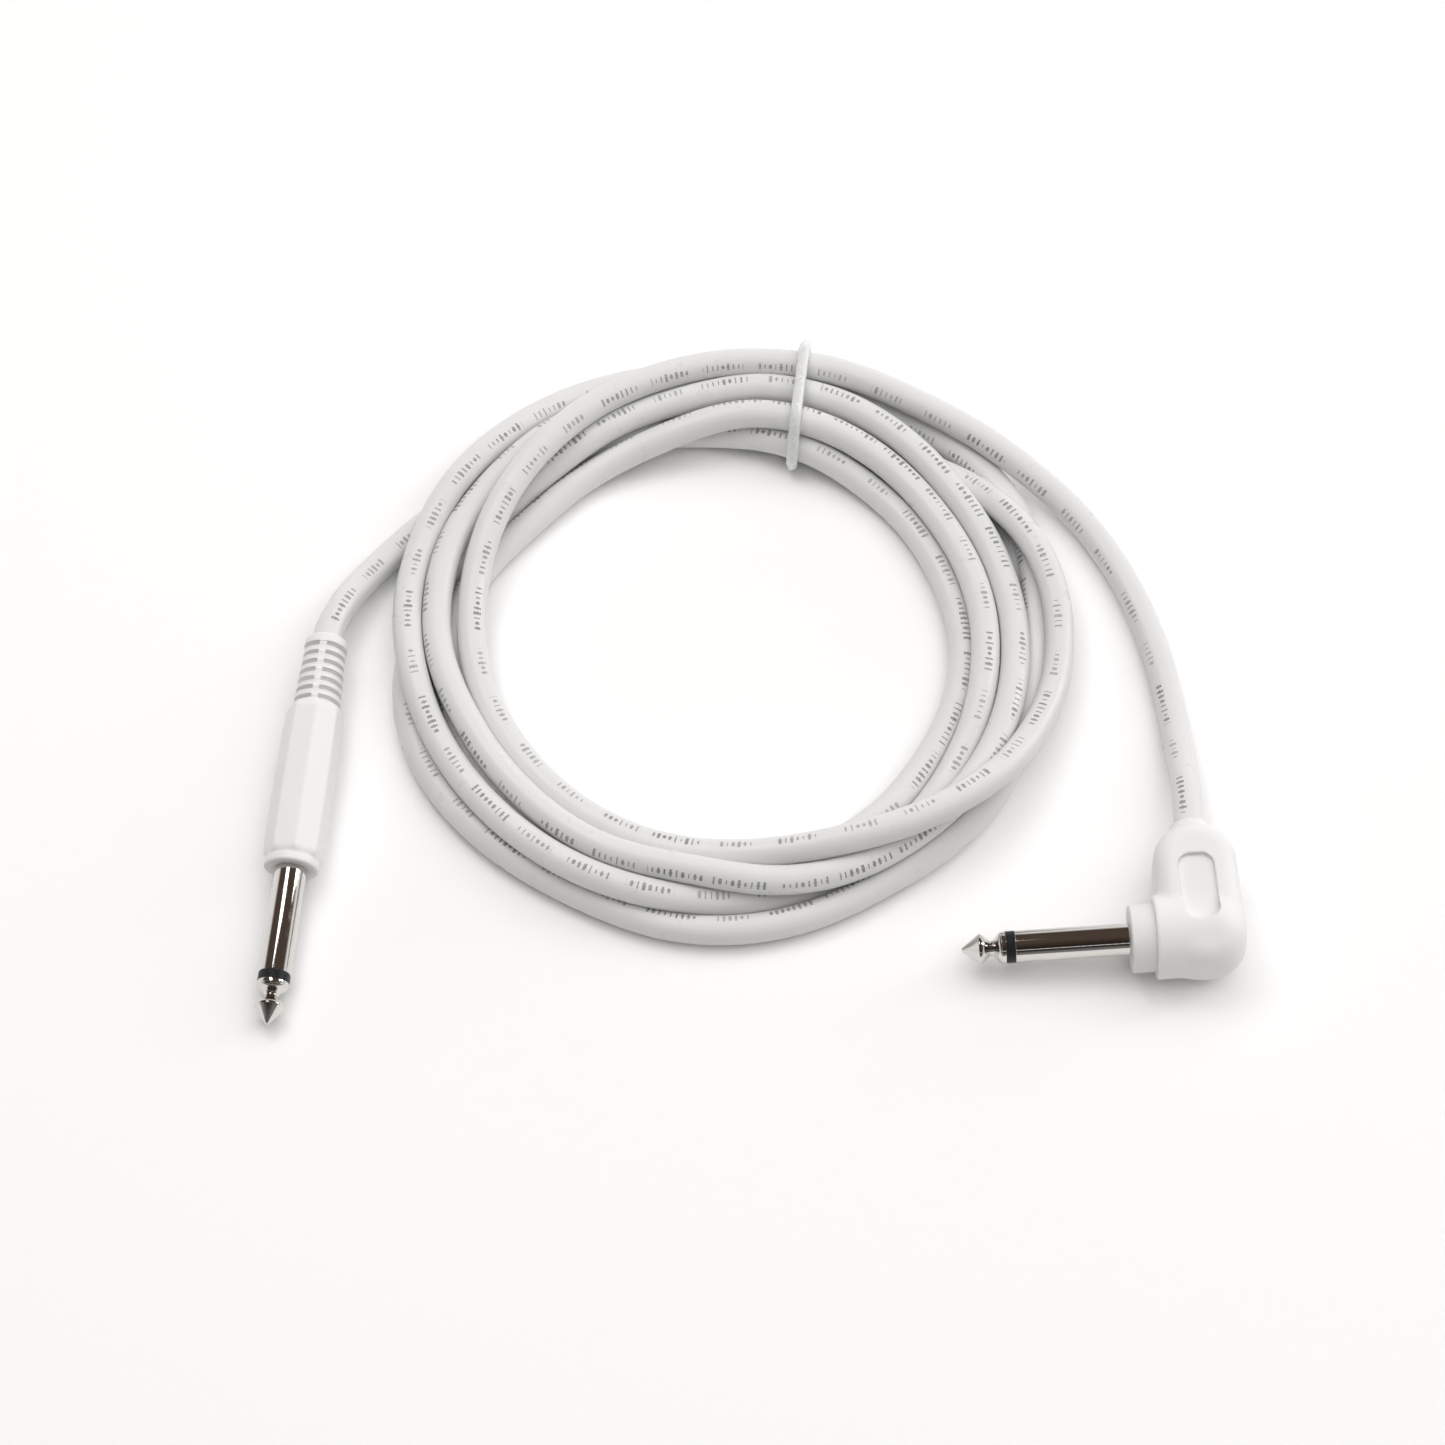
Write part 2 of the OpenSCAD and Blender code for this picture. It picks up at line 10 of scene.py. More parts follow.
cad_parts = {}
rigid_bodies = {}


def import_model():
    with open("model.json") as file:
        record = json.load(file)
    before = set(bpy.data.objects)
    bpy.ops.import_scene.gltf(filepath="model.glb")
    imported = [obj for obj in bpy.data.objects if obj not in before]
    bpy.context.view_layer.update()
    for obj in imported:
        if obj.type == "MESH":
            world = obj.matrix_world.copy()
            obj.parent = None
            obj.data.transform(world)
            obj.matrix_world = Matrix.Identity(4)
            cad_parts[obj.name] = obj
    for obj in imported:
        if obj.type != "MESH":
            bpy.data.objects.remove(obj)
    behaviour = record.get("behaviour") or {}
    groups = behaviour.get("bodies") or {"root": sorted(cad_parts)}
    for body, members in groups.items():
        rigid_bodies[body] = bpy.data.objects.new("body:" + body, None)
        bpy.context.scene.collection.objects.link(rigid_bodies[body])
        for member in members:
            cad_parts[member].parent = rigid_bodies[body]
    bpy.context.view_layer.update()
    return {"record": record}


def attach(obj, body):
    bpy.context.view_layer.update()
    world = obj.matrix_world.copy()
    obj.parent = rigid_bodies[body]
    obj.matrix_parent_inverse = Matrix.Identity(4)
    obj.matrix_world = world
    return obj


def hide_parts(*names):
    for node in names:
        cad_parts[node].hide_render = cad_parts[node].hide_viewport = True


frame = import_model()
MM = 0.001

# ---------------------------------------------------------------- sizes, in millimetres

CABLE_D = 6.0
CABLE_R = CABLE_D / 2
COIL_CENTRE = (-3.6, 42.6)
TIE_ANGLE = 76.0
TIE_D = 2.4
TIE_LEAN = 83.0
TIE_REACH = 62.0

PIN_D = 6.35
PIN_LEN = 33.0
TIP_LEN = 8.7
RING_LEN = 1.8
SLEEVE_DEPTH = 4.0
SLEEVE_BORE_D = 4.4
ROD_D = 2.4
NECK_D = 2.9
TIP_D = 6.0
FLANGE_D = 9.0
FLANGE_T = 2.0
ROOT_STEP = 0.2
NECK_AT = 2.7
CONE_LEN = 3.5
TIP_COLLAR_LEN = 0.9
TIP_COLLAR_R = PIN_D / 2 - 0.05
RING_R = PIN_D / 2 - 0.025
RIVET_BACK = -9.2
RIVET_T = 0.6
RIVET_R = ROD_D / 2 + 0.5

HANDLE_LEN = 36.0
HANDLE_W = 11.5
HANDLE_BACK_W = 10.8
HANDLE_ROLL = math.radians(12.5)
LIP_D = 10.9
RELIEF_LEN = 15.8
RELIEF_FRONT_D = 10.0
RELIEF_BACK_D = 8.6
RELIEF_SLOTS = 7
SLOT_W = 0.85
SLOT_DEPTH = 1.3
SPINE_HALF = 0.85
RIB_HEIGHT = 0.28
FRONT_RING = 0.4
END_RING = 2.2
LIP_LEN = 1.75
MOULD_R = 4.9
MOULD_BACK = 9.1

BARREL_D = 16.5
LEG_OFFSET = 14.2
LEG_W = 16.4
LEG_H = 13.4
LEG_LEN = 22.8
LEG_ROUND = 4.0
BOSS_LEN = 1.0
COLLAR_D = 13.4
COLLAR_LEN = 4.7
COLLAR_BACK = 4.2
RECESS_W = 7.1
RECESS_LEN = 15.0
RECESS_AT = (-LEG_OFFSET + 0.3, -7.2)
RECESS_CORNER = 0.36 * RECESS_W
RECESS_DEPTH = 1.0
BARREL_FRONT_ROUND = 0.5
BARREL_BACK_ROUND = 6.0
BODY_BLEND = 0.9
BOSS_TOP_R = 5.0
BOSS_ROOT = 6.0
JACKET_STOP = 17.0

# Each pin dips by the pitch, until the moulding's front rests on the surface.
PITCH = math.radians(3.0)
HANDLE_LOW = HANDLE_W / 2 * math.cos(math.pi / 8 - HANDLE_ROLL) / math.cos(math.pi / 8)
STRAIGHT_Z = HANDLE_LOW * math.cos(PITCH) + (HANDLE_LEN + RELIEF_LEN - 3) * math.sin(PITCH)
STRAIGHT_EXIT = (-86.2, 41.9, STRAIGHT_Z)
STRAIGHT_TURN = 265.0
ANGLE_Z = BARREL_D / 2 * math.cos(PITCH) + (LEG_OFFSET - COLLAR_LEN) * math.sin(PITCH)
ANGLE_EXIT = (87.6, -1.5, ANGLE_Z)
ANGLE_TURN = 182.7

# The free stretches, along the cable's centre: the same points as in the part's source.
ANGLE_ROUTE = [(60.4, 84.1, 8), (65.6, 80.2, 7.4), (70.7, 74.4, 6.2), (75.7, 66.4, 4.6), (79.7, 58.2, 3.5),
               (82.4, 50, 3), (84.8, 40.8, 3), (86.4, 30.6, 3.3), (87.4, 19.6, 4.8), (87.8, 10.6, 6.9),
               (87.8, 3.6, 8.4), ANGLE_EXIT]
STRAIGHT_ROUTE = [(-72.6, 69.1, 3), (-75.7, 64.9, 3.6), (-78.7, 60.3, 4.9), (-81.4, 55.5, 6.3),
                  (-83.8, 50.6, 7.7), (-85.5, 46, 8.5), STRAIGHT_EXIT]

# Each turn's stations: (angle round the coil, distance from its centre, height).
LAY_ON = [(50, 71.5, 10), (64, 69.5, 12), (76, 68.5, 10)]
TURNS = [
    [(90, 66, 12), (105, 63.5, 14), (120, 61.5, 14.5), (135, 59, 14.5), (150, 56.5, 14), (165, 54.5, 10.5),
     (185, 52.5, 9), (210, 51, 9), (235, 50, 9), (255, 50, 9), (270, 50.5, 9.5), (282, 52, 11),
     (294, 54.5, 14), (306, 57.5, 14.5), (318, 60, 14), (330, 62.5, 12), (342, 65, 9), (356, 67.2, 8),
     (376, 67.9, 8), (390, 66, 8), (404, 63, 6), (418, 60, 4), (436, 58.5, 3)],
    [(95, 59.5, 4), (120, 61.5, 5.5), (145, 62.5, 7), (167, 61.8, 8.5), (185, 59.2, 8.5), (198, 56.5, 8.5),
     (220, 55, 8.5), (240, 54.8, 9), (260, 56, 10), (280, 56.8, 10), (298, 57.3, 9), (315, 58.5, 8.5),
     (340, 59.5, 8.5), (358, 58.8, 8.5), (378, 59, 8.5), (400, 60.3, 9), (418, 61.6, 9), (436, 62, 10)],
    [(91, 61.6, 9), (108, 60.2, 8.5), (125, 58.5, 8), (140, 57, 6), (155, 59.5, 4), (170, 63.5, 3),
     (188, 67, 3), (205, 66.8, 3), (230, 64, 3), (255, 62, 3), (280, 61.5, 3), (310, 61.3, 3),
     (330, 62.3, 3), (361, 63.8, 3), (375, 66, 3), (390, 69, 3), (404, 70.5, 3), (420, 69.5, 3),
     (436, 67.5, 3.5)],
    [(92, 69.5, 5), (110, 70, 7), (130, 70, 9), (150, 69, 9), (170, 67, 9), (190, 65, 8.5), (210, 63, 8.5),
     (230, 62, 8.5), (250, 61, 8), (270, 59, 6), (290, 56.5, 4.5), (310, 54.5, 5), (330, 53, 7),
     (350, 52.5, 8.5), (373, 52.8, 9), (400, 54, 9), (420, 55.5, 9.5), (436, 55.5, 10)],
    [(90, 54, 9), (108, 53, 7), (125, 53.5, 4.5), (141, 55.5, 3), (160, 57.5, 3), (193, 58, 3),
     (225, 56.5, 3), (255, 55, 3), (285, 52, 3), (320, 49.5, 3), (360, 48.5, 3), (400, 49.5, 3),
     (422, 51, 3), (436, 52.5, 3)],
]
LEAD_OFF = [(92, 55.5, 3), (108, 58.5, 3), (124, 62, 3), (138, 65.5, 3), (150, 69.5, 3)]


# Settling: the gap between centres, in diameters, and the pulls back to the chosen line on each round.
TURN_GAP = 1.02
PLAN_PULL = 0.02
HEIGHT_PULL = 0.01
WEIGHT = 0.02
BEND_PASSES = 6
PUSH_PASSES = 4

# Camera: metres and degrees.
CAMERA_TARGET = (-5.1 * MM, 27.6 * MM, 0.0)
CAMERA_HEIGHT = 0.622
LOOK_DOWN = math.radians(60.0)
LENS = 87.2


def v3(point):
    return Vector(point) * MM


# ---------------------------------------------------------------- mesh helpers

def new_object(name, verts, faces, material, sharp=40.0):
    """A mesh object from points in metres, smooth but for edges sharper than the angle."""
    mesh = bpy.data.meshes.new(name)
    mesh.from_pydata([tuple(v) for v in verts], [], faces)
    mesh.update()
    mesh.polygons.foreach_set("use_smooth", [True] * len(mesh.polygons))
    mesh.set_sharp_from_angle(angle=math.radians(sharp))
    obj = bpy.data.objects.new(name, mesh)
    bpy.context.scene.collection.objects.link(obj)
    mesh.materials.append(material)
    return obj


def grid_faces(rows, columns, joined=False):
    """Quads joining rows of points, each row closed on itself, and the last to the first if asked."""
    faces = []
    for i in range(rows - 1):
        for k in range(columns):
            a = i * columns + k
            b = i * columns + (k + 1) % columns
            faces.append((a, b, b + columns, a + columns))
    if joined:
        last = (rows - 1) * columns
        faces += [(last + k, last + (k + 1) % columns, (k + 1) % columns, k) for k in range(columns)]
    return faces


def float_attribute(obj, name, values):
    made = obj.data.attributes.new(name, "FLOAT", "POINT")
    made.data.foreach_set("value", np.asarray(values, dtype=np.float32))


def placement(exit_point, turn, offset):
    """From a plug's own axes, pin along +X and X = 0 where the bare sleeve starts, to the frame."""
    return (Matrix.Translation(v3(exit_point)) @ Matrix.Rotation(math.radians(turn), 4, "Z")
            @ Matrix.Rotation(PITCH, 4, "Y") @ Matrix.Translation(v3(offset)))


STRAIGHT_PLACE = placement(STRAIGHT_EXIT, STRAIGHT_TURN, (HANDLE_LEN + RELIEF_LEN, 0, 0))
ANGLE_PLACE = placement(ANGLE_EXIT, ANGLE_TURN, (LEG_OFFSET, LEG_LEN + BOSS_LEN, 0))


def lathe(name, profile, place, material, sides=96, sharp=35.0):
    """A closed outline of (station along X, radius) turned about X."""
    rows = [[(x * MM, r * MM * math.cos(a), r * MM * math.sin(a))
             for a in (2 * math.pi * k / sides for k in range(sides))] for x, r in profile]
    verts = [place @ Vector(p) for row in rows for p in row]
    obj = new_object(name, verts, grid_faces(len(rows), sides, joined=True), material, sharp)
    clean(obj)
    return obj


def clean(obj):
    """Merges points that fall together and turns every face outwards."""
    mesh = bmesh.new()
    mesh.from_mesh(obj.data)
    bmesh.ops.remove_doubles(mesh, verts=mesh.verts, dist=1e-7)
    bmesh.ops.dissolve_degenerate(mesh, edges=mesh.edges, dist=1e-8)
    bmesh.ops.recalc_face_normals(mesh, faces=mesh.faces)
    mesh.to_mesh(obj.data)
    mesh.free()


def arc(cx, cr, radius, start, end, steps=6):
    """Points (station, radius) on an arc about (cx, cr), angles in degrees from +X towards +radius."""
    return [(cx + radius * math.cos(a), cr + radius * math.sin(a))
            for a in (math.radians(start + (end - start) * k / steps) for k in range(steps + 1))]


# ---------------------------------------------------------------- materials

def shader(name):
    mat = bpy.data.materials.new(name)
    mat.use_nodes = True
    tree = mat.node_tree
    return mat, tree, tree.nodes["Principled BSDF"]


def node(tree, kind, **inputs):
    made = tree.nodes.new(kind)
    for key, value in inputs.items():
        if key in made.inputs.keys():
            made.inputs[key].default_value = value
        else:
            setattr(made, key, value)
    return made


def noise(tree, scale, detail=3.0, roughness=0.5):
    coords = tree.nodes.new("ShaderNodeTexCoord")
    made = node(tree, "ShaderNodeTexNoise", Scale=scale, Detail=detail, Roughness=roughness)
    tree.links.new(coords.outputs["Object"], made.inputs["Vector"])
    return made.outputs["Fac"]


def spread(tree, source, low, high, from_low=0.3, from_high=0.7):
    made = node(tree, "ShaderNodeMapRange")
    made.inputs["From Min"].default_value = from_low
    made.inputs["From Max"].default_value = from_high
    made.inputs["To Min"].default_value = low
    made.inputs["To Max"].default_value = high
    tree.links.new(source, made.inputs["Value"])
    return made.outputs["Result"]


def mix_colour(tree, factor, first, second):
    made = tree.nodes.new("ShaderNodeMix")
    made.data_type = "RGBA"
    tree.links.new(factor, made.inputs["Factor"])
    for socket, value in (("A", first), ("B", second)):
        target = [s for s in made.inputs if s.identifier == f"{socket}_Color"][0]
        if isinstance(value, tuple):
            target.default_value = (*value, 1.0)
        else:
            tree.links.new(value, target)
    return [s for s in made.outputs if s.identifier == "Result_Color"][0]


def bump(tree, bsdf, height, strength, distance):
    made = node(tree, "ShaderNodeBump", Strength=strength, Distance=distance)
    tree.links.new(height, made.inputs["Height"])
    tree.links.new(made.outputs["Normal"], bsdf.inputs["Normal"])


def maths(tree, operation, first, second=None):
    made = tree.nodes.new("ShaderNodeMath")
    made.operation = operation
    for k, value in enumerate((first, second)):
        if value is None:
            continue
        if isinstance(value, (int, float)):
            made.inputs[k].default_value = value
        else:
            tree.links.new(value, made.inputs[k])
    return made.outputs["Value"]


def plastic(name, light, dark, rough, grain, grain_height, mottling=60.0, gloss=0.5):
    """Moulded plastic: faint mottling, slightly uneven gloss and a fine grain."""
    mat, tree, bsdf = shader(name)
    tree.links.new(mix_colour(tree, noise(tree, mottling), dark, light), bsdf.inputs["Base Color"])
    tree.links.new(spread(tree, noise(tree, 4 * mottling), rough - 0.05, rough + 0.07),
                   bsdf.inputs["Roughness"])
    bump(tree, bsdf, noise(tree, grain, 4.0, 0.6), 0.35, grain_height)
    bsdf.inputs["Specular IOR Level"].default_value = gloss
    return mat


def metal(name, light, dark, rough, scale=900.0):
    """Plated or bare metal: tone, gloss and fine scratches all vary a little."""
    mat, tree, bsdf = shader(name)
    bsdf.inputs["Metallic"].default_value = 1.0
    tree.links.new(mix_colour(tree, noise(tree, 140.0), dark, light), bsdf.inputs["Base Color"])
    tree.links.new(spread(tree, noise(tree, 500.0), rough * 0.7, rough * 1.5), bsdf.inputs["Roughness"])
    bump(tree, bsdf, noise(tree, 4 * scale, 3.0, 0.6), 0.2, 2e-6)
    return mat


def cable_material():
    """White jacket with a line of small grey ticks printed along its upper side."""
    mat, tree, bsdf = shader("cable_jacket")
    along = node(tree, "ShaderNodeAttribute", attribute_name="along").outputs["Fac"]
    across = node(tree, "ShaderNodeAttribute", attribute_name="across").outputs["Fac"]
    upper = node(tree, "ShaderNodeAttribute", attribute_name="upper").outputs["Fac"]

    def cell(pitch, seed):
        place = maths(tree, "DIVIDE", along, pitch)
        number = maths(tree, "ADD", maths(tree, "FLOOR", place), seed)
        rand = node(tree, "ShaderNodeTexWhiteNoise", noise_dimensions="1D")
        tree.links.new(number, rand.inputs["W"])
        return maths(tree, "SUBTRACT", maths(tree, "FRACT", place), 0.5), rand.outputs["Value"]

    def inside(value, half, soft):
        """1 where the value is within half of 0, with a soft edge."""
        gap = maths(tree, "SUBTRACT", half, maths(tree, "ABSOLUTE", value))
        made = maths(tree, "DIVIDE", gap, soft)
        return maths(tree, "MINIMUM", maths(tree, "MAXIMUM", made, 0.0), 1.0)

    tick_at, tick_kind = cell(1.2, 3.0)
    group_at, group_kind = cell(12.4, 17.0)
    thick = spread(tree, tick_kind, 0.12, 0.30, 0.0, 1.0)
    tall = spread(tree, maths(tree, "FRACT", maths(tree, "MULTIPLY", tick_kind, 7.0)), 0.45, 0.95, 0.0, 1.0)
    stroke = maths(tree, "MULTIPLY", inside(tick_at, thick, 0.06), inside(across, tall, 0.12))
    dash = maths(tree, "MULTIPLY", inside(tick_at, 0.36, 0.06), inside(across, 0.17, 0.08))
    dash = maths(tree, "MULTIPLY", dash, maths(tree, "GREATER_THAN", tick_kind, 0.45))
    mark = maths(tree, "MAXIMUM", stroke, dash)
    group_half = spread(tree, group_kind, 0.24, 0.46, 0.0, 1.0)
    mark = maths(tree, "MULTIPLY", mark, inside(group_at, group_half, 0.02))
    mark = maths(tree, "MULTIPLY", mark, maths(tree, "GREATER_THAN", upper, 0.0))
    ink = maths(tree, "MULTIPLY", mark, spread(tree, noise(tree, 1500.0), 0.65, 1.0))
    ink = maths(tree, "MULTIPLY", ink, spread(tree, group_kind, 0.6, 1.0, 0.0, 1.0))
    jacket = mix_colour(tree, noise(tree, 40.0), (0.70, 0.70, 0.692), (0.735, 0.735, 0.73))
    tree.links.new(mix_colour(tree, ink, jacket, (0.15, 0.15, 0.15)), bsdf.inputs["Base Color"])
    tree.links.new(spread(tree, noise(tree, 220.0), 0.27, 0.40), bsdf.inputs["Roughness"])
    bump(tree, bsdf, noise(tree, 700.0, 4.0, 0.6), 0.3, 1.5e-5)
    bsdf.inputs["IOR"].default_value = 1.52
    return mat


def tie_material():
    """Pale cloudy elastic cord."""
    mat, tree, bsdf = shader("tie_elastic")
    tree.links.new(mix_colour(tree, noise(tree, 180.0), (0.74, 0.75, 0.745), (0.80, 0.805, 0.80)),
                   bsdf.inputs["Base Color"])
    tree.links.new(spread(tree, noise(tree, 400.0), 0.2, 0.32), bsdf.inputs["Roughness"])
    bump(tree, bsdf, noise(tree, 500.0, 2.0), 0.12, 1e-5)
    bsdf.inputs["Subsurface Weight"].default_value = 0.35
    bsdf.inputs["Subsurface Radius"].default_value = (0.002, 0.002, 0.002)
    bsdf.inputs["Transmission Weight"].default_value = 0.12
    bsdf.inputs["IOR"].default_value = 1.43
    return mat


MATERIALS = {
    "cable_pvc": cable_material(),
    "moulding_pvc": plastic("moulding_pvc", (0.81, 0.81, 0.80), (0.785, 0.785, 0.777), 0.42, 900.0, 3e-5),
    "inner_mould_plastic": plastic("inner_mould", (0.78, 0.78, 0.765), (0.74, 0.74, 0.725), 0.5, 700.0, 3e-5),
    "nickel": metal("nickel_plate", (0.74, 0.72, 0.69), (0.66, 0.64, 0.61), 0.085),
    "black_ring": plastic("black_ring", (0.02, 0.02, 0.022), (0.012, 0.012, 0.014), 0.4, 900.0, 2e-5,
                          gloss=0.25),
    "insulator": plastic("insulator", (0.80, 0.78, 0.72), (0.72, 0.70, 0.64), 0.4, 800.0, 3e-5),
    "tag_brass": metal("tinned_brass", (0.76, 0.66, 0.42), (0.62, 0.54, 0.34), 0.25),
    "copper": metal("bare_copper", (0.80, 0.46, 0.31), (0.62, 0.33, 0.22), 0.3, scale=2500.0),
    "solder": metal("solder", (0.66, 0.67, 0.69), (0.5, 0.51, 0.53), 0.35),
    "tie_elastic": tie_material(),
}


# ---------------------------------------------------------------- camera

def make_camera():
    """A long lens looking down at the coil from the front."""
    data = bpy.data.cameras.new("camera")
    data.sensor_width = 36.0
    data.lens = LENS
    data.clip_start = 0.05
    data.clip_end = 20.0
    obj = bpy.data.objects.new("camera", data)
    back = CAMERA_HEIGHT / math.tan(LOOK_DOWN)
    obj.location = Vector(CAMERA_TARGET) + Vector((0, -back, CAMERA_HEIGHT))
    obj.rotation_euler = (math.pi / 2 - LOOK_DOWN, 0.0, 0.0)
    bpy.context.scene.collection.objects.link(obj)
    bpy.context.scene.camera = obj


# ---------------------------------------------------------------- cable

def smooth_line(points, step):
    """A centripetal Catmull-Rom curve through the points, cut at even steps."""
    points = np.array(points, float)
    ext = np.vstack([2 * points[0] - points[1], points, 2 * points[-1] - points[-2]])
    line = []
    for i in range(1, len(ext) - 2):
        p = ext[i - 1:i + 3]
        t = np.concatenate([[0], np.cumsum(np.sqrt(np.linalg.norm(np.diff(p, axis=0), axis=1)))])
        for s in np.linspace(t[1], t[2], 20, endpoint=False):
            a = [((t[k + 1] - s) * p[k] + (s - t[k]) * p[k + 1]) / (t[k + 1] - t[k]) for k in range(3)]
            b = [((t[k + 2] - s) * a[k] + (s - t[k]) * a[k + 1]) / (t[k + 2] - t[k]) for k in range(2)]
            line.append(((t[2] - s) * b[0] + (s - t[1]) * b[1]) / (t[2] - t[1]))
    line.append(points[-1])
    return even_steps(np.array(line), step)


def even_steps(line, step):
    run = np.concatenate([[0], np.cumsum(np.linalg.norm(np.diff(line, axis=0), axis=1))])
    at = np.linspace(0, run[-1], int(round(run[-1] / step)) + 1)
    return np.stack([np.interp(at, run, line[:, k]) for k in range(3)], axis=1)


def cable_stations():
    """The whole route from the right-angle plug, round every turn, to the straight plug."""
    polar = list(LAY_ON)
    for number, turn in enumerate(TURNS):
        polar += [(angle + 360 * number, radius, height) for angle, radius, height in turn]
    polar += [(angle + 360 * len(TURNS), radius, height) for angle, radius, height in LEAD_OFF]
    coil = [(COIL_CENTRE[0] + radius * math.cos(math.radians(angle)),
             COIL_CENTRE[1] + radius * math.sin(math.radians(angle)), height)
            for angle, radius, height in polar]
    return list(reversed(ANGLE_ROUTE)) + coil + STRAIGHT_ROUTE


def ground(line):
    """Lowest height of the cable's centre: the surface, or the tie's lower run where it passes under."""
    out = np.array([math.cos(math.radians(TIE_ANGLE)), math.sin(math.radians(TIE_ANGLE))])
    flat = line[:, :2] - np.array(COIL_CENTRE)
    beside = np.abs(flat @ np.array([-out[1], out[0]]))
    near = (flat @ out) > 0
    return CABLE_R + np.where(near, TIE_D * np.exp(-(beside / 14.0) ** 4), 0.0)


def settle(line, rounds=320):
    """Bends, weighs and pushes apart the laid cable until its turns rest on each other."""
    gap = CABLE_D * TURN_GAP
    line = line.copy()
    home = line.copy()
    step = np.linalg.norm(np.diff(line, axis=0), axis=1).mean()
    first, second = np.triu_indices(len(line), int(math.ceil(3 * CABLE_D / step)))
    for turn in range(rounds):
        if turn % 10 == 0:
            close = np.linalg.norm(line[first] - line[second], axis=1) < 2.2 * gap
            one, two = first[close], second[close]
        for _ in range(BEND_PASSES):
            bend = np.zeros_like(line)
            bend[1:-1] = (line[:-2] + line[2:]) / 2 - line[1:-1]
            ease = np.zeros_like(line)
            ease[2:-2] = bend[2:-2] - (bend[1:-3] + bend[3:-1]) / 2
            line += 0.5 * ease
        line[:, :2] += PLAN_PULL * (home[:, :2] - line[:, :2])
        line[:, 2] += HEIGHT_PULL * (home[:, 2] - line[:, 2]) - WEIGHT
        for _ in range(PUSH_PASSES):
            apart = line[one] - line[two]
            length = np.linalg.norm(apart, axis=1)
            hit = length < gap
            push = (0.3 * (gap - length[hit]) / length[hit])[:, None] * apart[hit]
            moved = np.zeros_like(line)
            count = np.ones(len(line))
            np.add.at(moved, one[hit], push)
            np.add.at(moved, two[hit], -push)
            np.add.at(count, one[hit], 1)
            np.add.at(count, two[hit], 1)
            line += moved / np.sqrt(np.maximum(count - 1, 1))[:, None]
            line[:, 2] = np.maximum(line[:, 2], ground(line))
            line[:4], line[-4:] = home[:4], home[-4:]
    return line


def rings(line):
    """Directions along, across and up for each point, with no twist between neighbours."""
    along = np.gradient(line, axis=0)
    along /= np.linalg.norm(along, axis=1)[:, None]
    across = np.cross(np.array([0.0, 0.0, 1.0]), along)
    across /= np.linalg.norm(across, axis=1)[:, None]
    return along, across, np.cross(along, across)


def tube(name, line, diameter, sides, material, closed=False):
    """A round tube along the points, in millimetres, with its print's coordinates."""
    line = np.asarray(line, float)
    if closed:
        along = np.roll(line, -1, axis=0) - np.roll(line, 1, axis=0)
        along /= np.linalg.norm(along, axis=1)[:, None]
        flat = np.cross(along, np.roll(along, -3, axis=0)).mean(axis=0)
        across = np.tile(flat / np.linalg.norm(flat), (len(line), 1))
        up = np.cross(along, across)
    else:
        along, across, up = rings(line)
    turn = 2 * np.pi * np.arange(sides) / sides
    radius = diameter / 2
    points = (line[:, None, :] + radius * (np.sin(turn)[None, :, None] * across[:, None, :]
                                           + np.cos(turn)[None, :, None] * up[:, None, :]))
    faces = grid_faces(len(line), sides, joined=closed)
    if not closed:
        faces += [tuple(reversed(range(sides))),
                  tuple(range((len(line) - 1) * sides, len(line) * sides))]
    obj = new_object(name, points.reshape(-1, 3) * MM, faces, material)
    run = np.concatenate([[0], np.cumsum(np.linalg.norm(np.diff(line, axis=0), axis=1))])
    roll = 0.8 * np.sin(run / 170.0 + 0.6) + 0.25 * np.sin(run / 61.0)
    angle = (turn[None, :] - roll[:, None] + np.pi) % (2 * np.pi) - np.pi
    float_attribute(obj, "along", np.repeat(run, sides))
    float_attribute(obj, "across", (radius * np.sin(angle)).ravel())
    float_attribute(obj, "upper", np.cos(angle).ravel())
    return obj


def make_cable():
    line = settle(smooth_line(cable_stations(), 3.0))
    line = smooth_line(np.vstack([line[:-1:2], line[-1:]]), 1.5)
    obj = tube("cable", line, CABLE_D, 24, MATERIALS["cable_pvc"])
    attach(obj, "root")
    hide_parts("cable_coil", "cable_lead_angle", "cable_lead_straight")
    return obj, line


